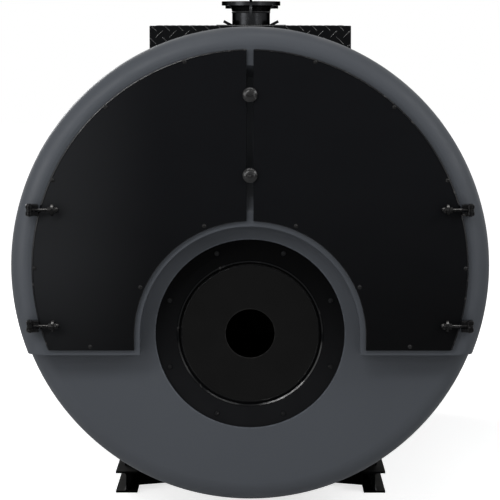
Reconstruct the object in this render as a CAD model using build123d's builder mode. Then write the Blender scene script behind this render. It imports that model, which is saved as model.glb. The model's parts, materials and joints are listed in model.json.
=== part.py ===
from build123d import *
import math
import os

# Drum: its jacket and the floor beneath it
jacket_radius = 1250.0
jacket_wall = 100.0
floor_clearance = 91.0
section_length = 1400.0
section_count = 3
seam_chamfer = 3.0
seat_gap = 0.3

# Front end, as depths behind the face of the closed doors
cover_thickness = 15.0
door_clearance = 5.0
housing_depth = 134.0
head_depth = 146.0
edge_round = 95.0
housing_foot_drop = 456.0

# Burner opening and its closing plates
burner_hole_radius = 497.0
burner_drop = 359.0
burner_recess = 12.0
ring_thickness = 40.0
ring_width = 119.0
ring_lip_width = 43.0
groove_width = 16.0
plate_thickness = 24.0
plate_bore_radius = 129.0
plate_edge = 5.0

# Arch over the burner and the doors round it
arch_margin = 78.0
arch_cover_lap = 28.0
frame_lap = 42.0
cover_rim = 118.0
cover_foot_lift = 26.0
cover_edge = 3.0
door_gap = 36.0
post_width = 84.0
post_recess = 90.0
post_head_wall = 82.0
post_foot_wall = 74.0
post_top_slope = 60.0
post_foot_slope = 140.0
core_depth = 90.0
core_clearance = 35.0
core_post_clearance = 20.0

# Door hinges
hinge_inset = 110.0
hinge_heights = (304.0, -300.0)
hinge_standoff = 35.0
pin_radius = 8.0
pin_clearance = 0.05
pin_stub = 3.0
ear_radius = 20.0
ear_thickness = 20.0
ear_edge = 4.0
ear_gap = 20.0
ear_reach = 45.0
ear_wing = 45.0
ear_wing_front = 12.0
ear_wing_depth = 27.0
ear_foot = 35.0
eye_radius = 17.0
eye_clearance = 1.0
rod_radius = 8.0
rod_nut_length = 17.0
rod_nut_radius = 17.0
lug_start = 111.0
lug_radius = 30.0
lug_thickness = 12.0
lug_foot_width = 46.0
cap_nut_radius = 17.0
cap_nut_length = 14.0
cap_dome_length = 15.0

# Clamp knobs over the gap between the doors
knob_head_drop = 233.0
knob_arch_rise = 266.0
knob_radius = 39.0
knob_rim = 6.0
knob_rise = 14.0
knob_shoulder_radius = 28.0
knob_shoulder_rise = 8.7
knob_hex_radius = 9.0
knob_hex_height = 5.0
knob_foot_width = 14.0
knob_foot_height = 40.0

# Tube plates and furnace
tube_plate_thickness = 20.0
furnace_clearance = 17.0
flame_tube_wall = 16.0
flame_tube_end_gap = 260.0

# Walkway deck on the crest
deck_front = 400.0
deck_rear_gap = 120.0
deck_half_width = 534.0
deck_plate = 5.0
deck_round = 4.5
deck_opening_half = 140.0
opening_bar_width = 60.0
opening_bar_height = 10.0
flap_length = 220.0
flap_width = 50.0
flap_thickness = 16.0
flap_angle = 28.0

# Nozzles on the crest: where they stand, pipes, flanges and their drilling
flow_seam_gap = 57.0
return_rear_gap = 1050.0
water_pipe_radius = 109.55
water_flange_radius = 170.0
water_bolt_circle = 295.0
water_bolt_count = 12
water_bolt_radius = 11.0
water_face_height = 151.0
water_flange_thickness = 24.0
water_neck_radius = 117.5
water_neck_reach = 62.0
safety_pipe_radius = 44.45
safety_flange_radius = 100.0
safety_bolt_circle = 160.0
safety_bolt_count = 8
safety_bolt_radius = 9.0
safety_face_height = 130.0
safety_flange_thickness = 20.0
safety_neck_radius = 52.5
safety_neck_reach = 50.0
pipe_wall = 6.3
neck_root = 7.0

# Lifting lugs
flow_lug_gap = 557.0
rear_lug_gap = 540.0
crest_lug_length = 200.0
crest_lug_thickness = 15.0
crest_lug_rise = 156.0
crest_lug_hole = 32.0
crest_lug_round = 90.0
crest_lug_slot = 15.0

# Rails and saddles
rail_x = 692.0
rail_height = 120.0
rail_width = 120.0
rail_web = 6.5
rail_flange = 11.0
rail_root = 12.0
rail_front = 945.0
rail_rear_gap = 350.0
saddle_front = 1155.0
saddle_rear_gap = 620.0
saddle_plate = 20.0
saddle_foot_gap = 8.0
saddle_slope = 0.08
saddle_seat = 80.0
gusset_length = 150.0
gusset_thickness = 12.0

# Rear end
flue_box_margin = 210.0
flue_box_foot = 60.0
flue_box_depth = 340.0
flue_box_wall = 8.0
flue_box_round = 40.0
flue_drop = 30.0
flue_radius = 300.0
flue_wall = 6.0
flue_length = 130.0
flue_flange_width = 50.0
flue_flange_thickness = 12.0
flue_bolt_count = 12
flue_bolt_radius = 7.0
hatch_flue_gap = 105.0
hatch_edge_gap = 91.0
hatch_foot_gap = 120.0
hatch_head_gap = 480.0
hatch_thickness = 14.0
hatch_round = 30.0
hatch_handle_span = 130.0
hatch_handle_rise = 45.0
hatch_handle_width = 25.0
hatch_handle_bar = 8.0
inspection_radius = 250.0
inspection_thickness = 30.0
inspection_boss_radius = 70.0
inspection_boss_rise = 25.0
drain_foot_gap = 240.0
drain_pipe_radius = 30.15
drain_flange_radius = 82.5
drain_bolt_circle = 125.0
drain_bolt_count = 4
drain_bolt_radius = 9.0
drain_reach = 120.0
drain_flange_thickness = 18.0

# Radii and heights that follow the drum and the burner opening
arch_radius = burner_hole_radius + arch_margin
ring_groove_radius = burner_hole_radius - ring_width
ring_lip_radius = ring_groove_radius - ring_lip_width
plate_radius = ring_groove_radius - groove_width
flame_tube_radius = burner_hole_radius - furnace_clearance
cover_radius = jacket_radius - cover_rim
cover_foot_drop = housing_foot_drop - cover_foot_lift
hinge_x = jacket_radius - hinge_inset
knob_heights = (cover_radius - knob_head_drop, arch_radius - burner_drop + knob_arch_rise)
flue_box_radius = jacket_radius - flue_box_margin
flue_height = (flue_box_foot + flue_box_radius) / 2 - flue_drop
drain_drop = jacket_radius - drain_foot_gap

# Depths of the main planes behind the door face
frame_face = cover_thickness + door_clearance
head_face = frame_face + housing_depth
jacket_front = head_face + head_depth
jacket_rear = jacket_front + section_count * section_length
rear_face = jacket_rear + head_depth
flue_box_face = rear_face + flue_box_depth
flue_face = flue_box_face + flue_length
front_reach = hinge_standoff + lug_radius

# The origin is under the middle of the whole length, on the floor
axis_z = floor_clearance + jacket_radius
door_y = (front_reach - flue_face) / 2
drum_axis = Axis((0, door_y, axis_z), (0, 1, 0))
lengthwise = Plane(origin=(0, door_y, axis_z), x_dir=(0, 1, 0), z_dir=(1, 0, 0))
foot_plane = Plane(origin=(0, door_y, axis_z - housing_foot_drop), z_dir=(0, 0, 1))
sides = {"left": -1, "right": 1}

# Openings behind the doors: the frame laps under the covers
opening_radius = cover_radius - frame_lap
opening_arch = arch_radius + arch_cover_lap + frame_lap
opening_foot = frame_lap - cover_foot_drop
post_half = post_width / 2
deck_underside = jacket_radius + seat_gap
deck_top = deck_underside + deck_plate
deck_rear = jacket_rear - deck_rear_gap
flow_depth = jacket_front + section_length + flow_seam_gap
return_depth = jacket_rear - return_rear_gap
safety_depth = (flow_depth + return_depth) / 2
lug_depths = (flow_depth - flow_lug_gap, jacket_rear - rear_lug_gap)
crest_pipes = (
    (flow_depth, water_pipe_radius),
    (safety_depth, safety_pipe_radius),
    (return_depth, water_pipe_radius),
)


def across(depth):
    """The upright plane across the drum at a depth behind the doors, seen from the front."""
    return Plane(origin=(0, door_y + depth, axis_z), x_dir=(1, 0, 0), z_dir=(0, -1, 0))


def level(height):
    """The horizontal plane at a height above the drum's axis, x across and y back from the doors."""
    return Plane(origin=(0, door_y, axis_z + height), z_dir=(0, 0, 1))


def save(builder, name):
    """Labels a finished piece and writes it out."""
    builder.part.label = name
    export_step(builder.part, f"parts/{name}.step")


def leaf(side, outer, arch, foot, inner):
    """One leaf of the doors: inside the outer arc, outside the burner's arch, above its foot."""
    with BuildSketch() as outline:
        Circle(outer)
        with Locations((side * (inner + outer / 2), foot + outer)):
            Rectangle(outer, 2 * outer, mode=Mode.INTERSECT)
        with Locations((0, -burner_drop)):
            Circle(arch, mode=Mode.SUBTRACT)
            Rectangle(2 * arch, outer, align=(Align.CENTER, Align.MAX), mode=Mode.SUBTRACT)
    return outline.sketch


def rounded_drum(front, back, gap):
    """A drum with a rounded front edge, grown outwards by a gap."""
    radius = jacket_radius + gap
    curve = edge_round + gap
    with BuildPart() as drum:
        with BuildSketch(lengthwise):
            with BuildLine():
                Line((front - gap, 0), (front - gap, radius - curve))
                CenterArc((front - gap + curve, radius - curve), curve, 180, -90)
                Polyline((front - gap + curve, radius), (back, radius), (back, 0), (front - gap, 0))
            make_face()
        revolve(axis=drum_axis)
    return drum.part


def half_drum(front, back, keep):
    """The part of a rounded drum above or below the foot of the door housing."""
    return split(rounded_drum(front, back, 0), bisect_by=foot_plane, keep=keep, mode=Mode.PRIVATE)


def door_openings():
    """The two openings behind the doors, with the post between them left standing."""
    leaves = [leaf(side, opening_radius, opening_arch, opening_foot, post_half) for side in sides.values()]
    return leaves[0] + leaves[1]


os.makedirs("parts", exist_ok=True)

# Jacket: insulated rings laid end to end, their seams chamfered, bored for the pipes on the crest
for number, name in enumerate(("front", "middle", "rear")[:section_count]):
    with BuildPart() as jacket:
        with BuildSketch(across(jacket_front + number * section_length)):
            Circle(jacket_radius)
            Circle(jacket_radius - jacket_wall, mode=Mode.SUBTRACT)
        extrude(amount=-section_length)
        chamfer(jacket.edges().filter_by(GeomType.CIRCLE).sort_by(SortBy.RADIUS)[-2:], seam_chamfer)
        with BuildSketch(level(0)):
            for depth, pipe in crest_pipes:
                with Locations((0, depth)):
                    Circle(pipe + seat_gap)
        extrude(amount=jacket_radius, mode=Mode.SUBTRACT)
    save(jacket, f"jacket_{name}")

# Front head: square behind the door housing, rounded over below the housing's foot
square_drum = Solid.make_cylinder(jacket_radius, head_depth, across(jacket_front))
with BuildPart() as front_head:
    add(split(square_drum, bisect_by=foot_plane, keep=Keep.TOP, mode=Mode.PRIVATE))
    add(half_drum(head_face, jacket_front, Keep.BOTTOM))
    with BuildSketch(across(head_face)):
        add(door_openings())
        with Locations((0, -burner_drop)):
            Circle(burner_hole_radius + seat_gap)
    extrude(amount=-head_depth, mode=Mode.SUBTRACT)
save(front_head, "front_head")

# Door housing: the deep upper part of the front, arched over the burner
with BuildPart() as door_housing:
    add(half_drum(frame_face, head_face, Keep.TOP))
    with BuildSketch(across(frame_face)):
        add(door_openings())
        with Locations((0, -burner_drop)):
            Circle(arch_radius)
            Rectangle(2 * arch_radius, jacket_radius, align=(Align.CENTER, Align.MAX))
    extrude(amount=-housing_depth, mode=Mode.SUBTRACT)
    # The post between the doors is hollowed, with a slope into the hollow at each end
    with BuildSketch(lengthwise):
        with BuildLine():
            hollow = frame_face + post_recess
            hollow_top = cover_radius - post_head_wall
            hollow_foot = arch_radius - burner_drop + post_foot_wall
            Polyline(
                (frame_face, hollow_top),
                (hollow, hollow_top - post_top_slope),
                (hollow, hollow_foot + post_foot_slope),
                (frame_face, hollow_foot),
                close=True,
            )
        make_face()
    extrude(amount=post_half, both=True, mode=Mode.SUBTRACT)
save(door_housing, "door_housing")

# Burner ring with a lip behind, and the plate that closes it round the burner's bore
with BuildPart() as burner_ring:
    with BuildSketch(across(head_face + burner_recess)):
        with Locations((0, -burner_drop)):
            Circle(burner_hole_radius)
            Circle(ring_groove_radius, mode=Mode.SUBTRACT)
    extrude(amount=-ring_thickness)
    with BuildSketch(across(head_face + burner_recess + plate_thickness)):
        with Locations((0, -burner_drop)):
            Circle(burner_hole_radius)
            Circle(ring_lip_radius, mode=Mode.SUBTRACT)
    extrude(amount=plate_thickness - ring_thickness)
save(burner_ring, "burner_ring")

with BuildPart() as burner_plate:
    with BuildSketch(across(head_face + burner_recess)):
        with Locations((0, -burner_drop)):
            Circle(plate_radius)
            Circle(plate_bore_radius, mode=Mode.SUBTRACT)
    extrude(amount=-plate_thickness)
    front_edges = burner_plate.faces().sort_by(Axis.Y)[0].edges().sort_by(SortBy.RADIUS)
    chamfer(front_edges[-1], plate_edge)
save(burner_plate, "burner_plate")

# Tube plates inside the ends of the jacket, and the furnace tube through them
front_tube_plate_depth = jacket_front
rear_tube_plate_depth = jacket_rear - tube_plate_thickness
furnace_front = head_face + burner_recess + ring_thickness
furnace_rear = rear_tube_plate_depth - flame_tube_end_gap
with BuildPart() as front_tube_plate:
    with BuildSketch(across(front_tube_plate_depth)):
        Circle(jacket_radius - jacket_wall - seat_gap)
        with Locations((0, -burner_drop)):
            Circle(flame_tube_radius + seat_gap, mode=Mode.SUBTRACT)
    extrude(amount=-tube_plate_thickness)
save(front_tube_plate, "front_tube_plate")

with BuildPart() as rear_tube_plate:
    with BuildSketch(across(rear_tube_plate_depth)):
        Circle(jacket_radius - jacket_wall - seat_gap)
    extrude(amount=-tube_plate_thickness)
save(rear_tube_plate, "rear_tube_plate")

with BuildPart() as flame_tube:
    with BuildSketch(across(furnace_front)):
        with Locations((0, -burner_drop)):
            Circle(flame_tube_radius)
            Circle(flame_tube_radius - flame_tube_wall, mode=Mode.SUBTRACT)
    extrude(amount=furnace_front - furnace_rear)
    with BuildSketch(across(furnace_rear - flame_tube_wall)):
        with Locations((0, -burner_drop)):
            Circle(flame_tube_radius)
    extrude(amount=-flame_tube_wall)
save(flame_tube, "flame_tube")

# Doors: a lay-on cover, and an insulated core that fills the opening behind it
core_radius = opening_radius - core_clearance
core_arch = opening_arch + core_clearance
core_foot = opening_foot + core_clearance
core_inner = post_half + core_post_clearance
for word, side in sides.items():
    with BuildPart() as door_cover:
        with BuildSketch(across(0)):
            add(leaf(side, cover_radius, arch_radius + arch_cover_lap, -cover_foot_drop, door_gap / 2))
        extrude(amount=-cover_thickness)
        chamfer(door_cover.faces().sort_by(Axis.Y)[0].edges(), cover_edge)
    save(door_cover, f"{word}_door_cover")

    with BuildPart() as door_core:
        with BuildSketch(across(cover_thickness)):
            add(leaf(side, core_radius, core_arch, core_foot, core_inner))
        extrude(amount=-core_depth)
    save(door_core, f"{word}_door_core")

# Hinges: two ears with a pin on the housing's rounded rim, and an eye bolt on the door
rim_envelope = rounded_drum(frame_face, head_face, seat_gap)
hinge_names = ("upper", "lower")
for word, side in sides.items():
    inward = Align.MIN if side < 0 else Align.MAX
    for name, height in zip(hinge_names, hinge_heights):
        with BuildPart() as bracket:
            for direction in (1, -1):
                with BuildSketch(level(height + direction * ear_gap / 2)):
                    ear_length = hinge_standoff + frame_face + ear_reach
                    with Locations((side * hinge_x, -hinge_standoff)):
                        Circle(ear_radius)
                        Rectangle(2 * ear_radius, ear_length, align=(Align.CENTER, Align.MIN))
                        Rectangle(ear_foot, ear_length, align=(inward, Align.MIN))
                    with Locations((side * hinge_x, -hinge_standoff - ear_wing_front)):
                        Rectangle(ear_wing, ear_wing_depth, align=(inward, Align.MIN))
                extrude(amount=direction * ear_thickness)
            outer_faces = bracket.faces().filter_by(Plane.XY).sort_by(Axis.Z)
            chamfer(outer_faces[-1].edges() + outer_faces[0].edges(), ear_edge)
            add(rim_envelope, mode=Mode.SUBTRACT)
            pin_half = ear_gap / 2 + ear_thickness + pin_stub
            with BuildSketch(level(height - pin_half)):
                with Locations((side * hinge_x, -hinge_standoff)):
                    Circle(pin_radius)
            extrude(amount=2 * pin_half)
        save(bracket, f"{word}_{name}_hinge_bracket")

        bolt_plane = Plane(
            origin=(side * hinge_x, door_y - hinge_standoff, axis_z + height),
            x_dir=(0, 1, 0),
            z_dir=(-side, 0, 0),
        )
        with BuildPart() as arm:
            with BuildSketch(bolt_plane):
                Circle(rod_radius)
            extrude(amount=lug_start)
            with BuildSketch(bolt_plane.offset(lug_start - rod_nut_length)):
                RegularPolygon(rod_nut_radius, 6)
            extrude(amount=rod_nut_length)
            with BuildSketch(bolt_plane.offset(lug_start)):
                Circle(lug_radius)
                Rectangle(hinge_standoff, lug_foot_width, align=(Align.MIN, Align.CENTER))
            extrude(amount=lug_thickness)
            with BuildSketch(bolt_plane.offset(lug_start + lug_thickness)):
                RegularPolygon(cap_nut_radius, 6)
            extrude(amount=cap_nut_length)
            dome_start = lug_start + lug_thickness + cap_nut_length
            dome_radius = cap_nut_radius * math.cos(math.pi / 6)
            dome_plane = Plane(
                origin=(side * hinge_x, door_y - hinge_standoff, axis_z + height),
                x_dir=(-side, 0, 0),
                z_dir=(0, 0, 1),
            )
            with BuildSketch(dome_plane):
                with BuildLine():
                    Polyline((dome_start + cap_dome_length, 0), (dome_start, 0), (dome_start, dome_radius))
                    ThreePointArc(
                        (dome_start, dome_radius),
                        (dome_start + cap_dome_length * math.sin(math.pi / 4), dome_radius * math.cos(math.pi / 4)),
                        (dome_start + cap_dome_length, 0),
                    )
                make_face()
            revolve(axis=Axis(dome_plane.origin, (1, 0, 0)))
            eye_height = ear_gap - 2 * eye_clearance
            with BuildSketch(level(height - eye_height / 2)):
                with Locations((side * hinge_x, -hinge_standoff)):
                    Circle(eye_radius)
            extrude(amount=eye_height)
            with BuildSketch(level(height - eye_height / 2)):
                with Locations((side * hinge_x, -hinge_standoff)):
                    Circle(pin_radius + pin_clearance)
            extrude(amount=eye_height, mode=Mode.SUBTRACT)
        save(arm, f"{word}_{name}_hinge_arm")

# Clamp knobs: domed, footed on the left door and standing clear of the right one
for name, height in zip(hinge_names, knob_heights):
    with BuildPart() as knob:
        with BuildSketch(across(-door_clearance)):
            with Locations((0, height)):
                Circle(knob_radius)
        extrude(amount=knob_rim)
        dome_base = door_clearance + knob_rim
        dome_axis_plane = Plane(
            origin=(0, door_y, axis_z + height), x_dir=(1, 0, 0), z_dir=(0, 0, 1)
        )
        with BuildSketch(dome_axis_plane):
            with BuildLine():
                Polyline((0, -dome_base - knob_rise), (0, -dome_base), (knob_radius, -dome_base))
                ThreePointArc(
                    (knob_radius, -dome_base),
                    (knob_shoulder_radius, -dome_base - knob_shoulder_rise),
                    (0, -dome_base - knob_rise),
                )
            make_face()
        revolve(axis=Axis(dome_axis_plane.origin, (0, 1, 0)))
        with BuildSketch(across(-dome_base - knob_rise / 2)):
            with Locations((0, height)):
                RegularPolygon(knob_hex_radius, 6)
        extrude(amount=knob_rise / 2 + knob_hex_height)
        with BuildSketch(across(0)):
            with Locations((-door_gap / 2 - cover_edge - knob_foot_width / 2, height)):
                Rectangle(knob_foot_width, knob_foot_height)
        extrude(amount=dome_base)
    save(knob, f"{name}_clamp_knob")

# Walkway deck: plates that meet at the water nozzles, open round the nozzles, slotted for the lugs
plate_ends = {
    "front": (deck_front, flow_depth),
    "middle": (flow_depth, return_depth),
    "rear": (return_depth, deck_rear),
}
skirt_foot = math.sqrt(jacket_radius**2 - (deck_half_width - deck_plate) ** 2) + seat_gap
for name, (start, end) in plate_ends.items():
    with BuildPart() as plate:
        with BuildSketch(level(deck_underside)):
            with Locations((0, (start + end) / 2)):
                Rectangle(2 * deck_half_width, end - start)
            with Locations([(0, depth) for depth, pipe in crest_pipes]):
                Rectangle(2 * deck_opening_half, 2 * deck_opening_half, mode=Mode.SUBTRACT)
            with Locations([(0, depth + crest_lug_length / 2) for depth in lug_depths]):
                Rectangle(
                    crest_lug_thickness + crest_lug_slot,
                    crest_lug_length + crest_lug_slot,
                    mode=Mode.SUBTRACT,
                )
        extrude(amount=deck_plate)
        top_edges = plate.edges().filter_by(Axis.Y).group_by(Axis.Z)[-1].sort_by(Axis.X)
        fillet((top_edges[0], top_edges[-1]), deck_round)
    save(plate, f"deck_plate_{name}")

with BuildPart() as deck_skirts:
    with BuildSketch(across(deck_front)):
        skirt_x = deck_half_width - deck_plate / 2
        with Locations((-skirt_x, skirt_foot), (skirt_x, skirt_foot)):
            Rectangle(deck_plate, deck_underside - skirt_foot, align=(Align.CENTER, Align.MIN))
    extrude(amount=deck_front - deck_rear)
save(deck_skirts, "deck_skirts")

for name, depth in (("front", deck_front - deck_plate), ("rear", deck_rear)):
    with BuildPart() as panel:
        with BuildSketch(across(depth)):
            Rectangle(2 * deck_half_width, deck_top, align=(Align.CENTER, Align.MIN))
            fillet(vertices().group_by(Axis.Y)[-1], deck_round)
            Circle(jacket_radius + seat_gap, mode=Mode.SUBTRACT)
        extrude(amount=-deck_plate)
    save(panel, f"deck_panel_{name}")

# Low bars round the flow nozzle's opening, and the two flaps turned up beside its pipe
with BuildPart() as opening_frame:
    with BuildSketch(level(deck_top)):
        with Locations((0, flow_depth)):
            outer_bar = 2 * (deck_opening_half + opening_bar_width)
            Rectangle(outer_bar, outer_bar)
            Rectangle(2 * deck_opening_half, 2 * deck_opening_half, mode=Mode.SUBTRACT)
    extrude(amount=opening_bar_height)
save(opening_frame, "deck_opening_frame")

flap_slope = math.radians(flap_angle)
flap_root = water_pipe_radius + seat_gap + flap_thickness * math.sin(flap_slope)
with BuildPart() as deck_flaps:
    with BuildSketch(across(flow_depth + flap_length / 2)):
        with BuildLine():
            along = Vector(math.cos(flap_slope), math.sin(flap_slope)) * flap_width
            up = Vector(-math.sin(flap_slope), math.cos(flap_slope)) * flap_thickness
            root = Vector(flap_root, deck_top)
            Polyline(root, root + along, root + along + up, root + up, close=True)
        make_face()
        mirror(about=Plane.YZ)
    extrude(amount=flap_length)
save(deck_flaps, "deck_flaps")


def crest_nozzle(depth, drilling, neck, face_height):
    """A pipe through the jacket's crest, with a weld-neck flange drilled on its bolt circle."""
    pipe, flange, bolt_circle, bolts, bolt_radius = drilling
    thickness, neck_radius, neck_reach = neck
    face = jacket_radius + face_height
    foot = jacket_radius - jacket_wall
    stand = across(depth)
    with BuildPart() as nozzle:
        with BuildSketch(stand):
            with BuildLine():
                Polyline(
                    (pipe - pipe_wall, foot),
                    (pipe - pipe_wall, face),
                    (flange, face),
                    (flange, face - thickness),
                    (neck_radius + neck_root, face - thickness),
                    (neck_radius, face - thickness - neck_root),
                    (pipe, face - neck_reach),
                    (pipe, foot),
                    close=True,
                )
            make_face()
        revolve(axis=Axis(stand.origin, (0, 0, 1)))
        with BuildSketch(level(face)):
            with Locations((0, depth)):
                with PolarLocations(bolt_circle / 2, bolts, start_angle=180 / bolts):
                    Circle(bolt_radius)
        extrude(amount=-thickness, mode=Mode.SUBTRACT)
    return nozzle


# Nozzles along the crest: flow, safety valve and return
water = (water_pipe_radius, water_flange_radius, water_bolt_circle, water_bolt_count, water_bolt_radius)
water_neck = (water_flange_thickness, water_neck_radius, water_neck_reach)
safety = (safety_pipe_radius, safety_flange_radius, safety_bolt_circle, safety_bolt_count, safety_bolt_radius)
safety_neck = (safety_flange_thickness, safety_neck_radius, safety_neck_reach)
save(crest_nozzle(flow_depth, water, water_neck, water_face_height), "flow_nozzle")
save(crest_nozzle(return_depth, water, water_neck, water_face_height), "return_nozzle")
save(crest_nozzle(safety_depth, safety, safety_neck, safety_face_height), "safety_valve_nozzle")

# Lifting lugs on the crest, standing lengthwise
crest_envelope = rounded_drum(head_face, jacket_rear, seat_gap)
for name, depth in zip(("front", "rear"), lug_depths):
    with BuildPart() as crest_lug:
        with BuildSketch(lengthwise.offset(-crest_lug_thickness / 2)):
            with Locations((depth + crest_lug_length / 2, jacket_radius - jacket_wall)):
                Rectangle(crest_lug_length, jacket_wall + crest_lug_rise, align=(Align.CENTER, Align.MIN))
            fillet(vertices().group_by(Axis.Y)[-1], crest_lug_round)
            lug_eye = jacket_radius + crest_lug_rise - crest_lug_round
            with Locations((depth + crest_lug_length / 2, lug_eye)):
                Circle(crest_lug_hole, mode=Mode.SUBTRACT)
        extrude(amount=crest_lug_thickness)
        add(crest_envelope, mode=Mode.SUBTRACT)
    save(crest_lug, f"{name}_lifting_lug")

# Rails: rolled beams along both sides
rail_foot = -axis_z
rail_top = rail_foot + rail_height
rail_rear = jacket_rear - rail_rear_gap
for word, side in sides.items():
    with BuildPart() as rail:
        with BuildSketch(across(rail_front)) as section:
            with Locations((side * rail_x, rail_foot + rail_height / 2)):
                Rectangle(rail_width, rail_height)
                with Locations(((rail_width + rail_web) / 4, 0), (-(rail_width + rail_web) / 4, 0)):
                    Rectangle((rail_width - rail_web) / 2, rail_height - 2 * rail_flange, mode=Mode.SUBTRACT)
            roots = section.vertices().sort_by(lambda v: abs(abs(v.X) - rail_x))[:4]
            fillet(roots, rail_root)
        extrude(amount=rail_front - rail_rear)
    save(rail, f"{word}_rail")

# Saddles: a plate across both rails, cut out round the drum and braced by a gusset on each rail
drum_seat = jacket_radius + seat_gap
rail_inner = rail_x - rail_width / 2
saddle_outer = rail_inner + saddle_seat
saddle_foot = rail_foot + saddle_foot_gap
gusset_x = saddle_outer - gusset_thickness / 2
front_gusset = saddle_front + saddle_plate
rear_saddle = jacket_rear - saddle_rear_gap
rear_gusset = rear_saddle - gusset_length
for name, depth, gusset in (("front", saddle_front, front_gusset), ("rear", rear_saddle, rear_gusset)):
    with BuildPart() as saddles:
        with BuildSketch(across(depth)):
            with BuildLine():
                Polyline(
                    (0, saddle_foot + saddle_slope * rail_inner),
                    (rail_inner, saddle_foot),
                    (rail_inner, rail_top),
                    (saddle_outer, rail_top),
                    (saddle_outer, 0),
                    (0, 0),
                    close=True,
                )
            make_face()
            mirror(about=Plane.YZ)
            Circle(drum_seat, mode=Mode.SUBTRACT)
        extrude(amount=-saddle_plate)
        with BuildSketch(across(gusset)):
            with Locations((-gusset_x, rail_top), (gusset_x, rail_top)):
                Rectangle(gusset_thickness, -rail_top, align=(Align.CENTER, Align.MIN))
            Circle(drum_seat, mode=Mode.SUBTRACT)
        extrude(amount=-gusset_length)
    save(saddles, f"{name}_saddles")

# Rear head: an insulated end, rounded over like the front
with BuildPart() as rear_head:
    with BuildSketch(across(jacket_rear)):
        Circle(jacket_radius)
    extrude(amount=-head_depth)
    fillet(rear_head.faces().sort_by(Axis.Y)[-1].edges(), edge_round)
save(rear_head, "rear_head")

# Flue box: a hollow half-round box on the rear head, open through the flue outlet
with BuildPart() as flue_box:
    with BuildSketch(across(rear_face)):
        Circle(flue_box_radius)
        with Locations((0, flue_box_foot)):
            Rectangle(2 * flue_box_radius, flue_box_radius, align=(Align.CENTER, Align.MIN), mode=Mode.INTERSECT)
        fillet(vertices(), flue_box_round)
    extrude(amount=-flue_box_depth)
    offset(amount=-flue_box_wall, openings=flue_box.faces().sort_by(Axis.Y)[0])
    with BuildSketch(across(flue_box_face)):
        with Locations((0, flue_height)):
            Circle(flue_radius - flue_wall)
    extrude(amount=2 * flue_box_wall, mode=Mode.SUBTRACT)
save(flue_box, "flue_box")

with BuildPart() as flue_outlet:
    with BuildSketch(across(flue_box_face)):
        with Locations((0, flue_height)):
            Circle(flue_radius)
            Circle(flue_radius - flue_wall, mode=Mode.SUBTRACT)
    extrude(amount=-flue_length)
    with BuildSketch(across(flue_face)):
        with Locations((0, flue_height)):
            Circle(flue_radius + flue_flange_width)
            Circle(flue_radius - flue_wall, mode=Mode.SUBTRACT)
            with PolarLocations(flue_radius + flue_flange_width / 2, flue_bolt_count):
                Circle(flue_bolt_radius, mode=Mode.SUBTRACT)
    extrude(amount=flue_flange_thickness)
save(flue_outlet, "flue_outlet")

# Hatches on the flue box, each with a handle bent from flat bar
hatch_foot = flue_box_foot + hatch_foot_gap
hatch_top = flue_box_radius - hatch_head_gap
hatch_inner = flue_radius + flue_flange_width + hatch_flue_gap
hatch_outer = math.sqrt(flue_box_radius**2 - hatch_top**2) - hatch_edge_gap
hatch_x = (hatch_inner + hatch_outer) / 2
hatch_height = (hatch_foot + hatch_top) / 2
for word, side in sides.items():
    with BuildPart() as hatch:
        with BuildSketch(across(flue_box_face)):
            with Locations((side * hatch_x, hatch_height)):
                RectangleRounded(hatch_outer - hatch_inner, hatch_top - hatch_foot, hatch_round)
        extrude(amount=-hatch_thickness)
        handle_side = Plane(
            origin=(side * hatch_x, door_y + flue_box_face + hatch_thickness, axis_z + hatch_height),
            x_dir=(0, 1, 0),
            z_dir=(1, 0, 0),
        )
        with BuildSketch(handle_side):
            Rectangle(hatch_handle_rise, hatch_handle_span, align=(Align.MIN, Align.CENTER))
            chamfer(vertices().group_by(Axis.X)[-1], hatch_handle_bar)
            Rectangle(
                hatch_handle_rise - hatch_handle_bar,
                hatch_handle_span - 2 * hatch_handle_bar,
                align=(Align.MIN, Align.CENTER),
                mode=Mode.SUBTRACT,
            )
        extrude(amount=hatch_handle_width / 2, both=True)
    save(hatch, f"flue_hatch_{word}")

# Inspection cover over the furnace's rear end
with BuildPart() as inspection_cover:
    with BuildSketch(across(rear_face)):
        with Locations((0, -burner_drop)):
            Circle(inspection_radius)
    extrude(amount=-inspection_thickness)
    with BuildSketch(across(rear_face + inspection_thickness)):
        with Locations((0, -burner_drop)):
            Circle(inspection_boss_radius)
    extrude(amount=-inspection_boss_rise)
    chamfer(inspection_cover.faces().sort_by(Axis.Y)[-1].edges(), plate_edge)
save(inspection_cover, "inspection_cover")

# Drain nozzle low on the rear head
with BuildPart() as drain_nozzle:
    with BuildSketch(across(rear_face)):
        with Locations((0, -drain_drop)):
            Circle(drain_pipe_radius)
    extrude(amount=-drain_reach)
    with BuildSketch(across(rear_face + drain_reach)):
        with Locations((0, -drain_drop)):
            Circle(drain_flange_radius)
            with PolarLocations(drain_bolt_circle / 2, drain_bolt_count, start_angle=45):
                Circle(drain_bolt_radius, mode=Mode.SUBTRACT)
    extrude(amount=drain_flange_thickness)
    with BuildSketch(across(rear_face + drain_reach)):
        with Locations((0, -drain_drop)):
            Circle(drain_pipe_radius - pipe_wall / 2)
    extrude(amount=drain_reach, mode=Mode.SUBTRACT)
save(drain_nozzle, "drain_nozzle")
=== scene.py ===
import json
import math
from functools import partial

import bmesh
import bpy
from mathutils import Matrix, Quaternion, Vector


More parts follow.
